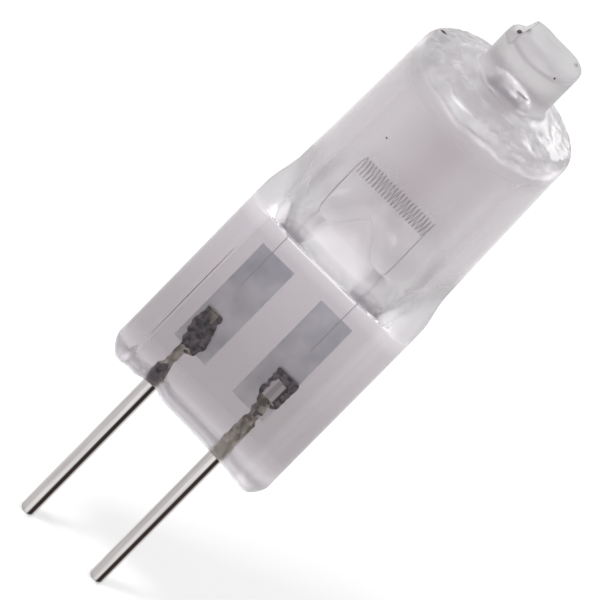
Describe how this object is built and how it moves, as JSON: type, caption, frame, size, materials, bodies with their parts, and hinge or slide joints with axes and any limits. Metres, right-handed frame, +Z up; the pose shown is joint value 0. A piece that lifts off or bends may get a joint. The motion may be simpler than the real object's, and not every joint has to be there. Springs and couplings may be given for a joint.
{
  "type": "halogen capsule bulb",
  "caption": "Clear quartz capsule bulb with a coiled filament, a flat pressed seal holding thin foils, an exhaust tip and a two pin base.",
  "frame": {"origin": "on the lamp's axis at the foot of the pinch, midway between the two pins where they leave the glass", "axes": "+Z up the lamp towards the exhaust tip, +X from the left pin to the right pin, +Y through the flat pinch towards the back"},
  "size_m": [0.0088, 0.0082, 0.031],
  "materials": {
    "quartz": "clear fused quartz, fire polished, pressed flat at the seal",
    "tungsten": null,
    "foil": null,
    "pin": "drawn molybdenum wire, bright outside the seal and dark inside it"
  },
  "bodies": {
    "root": {"glass_envelope": "quartz", "filament": "tungsten", "left_foil": "foil", "right_foil": "foil", "left_pin": "pin", "right_pin": "pin"}
  },
  "joints": []
}
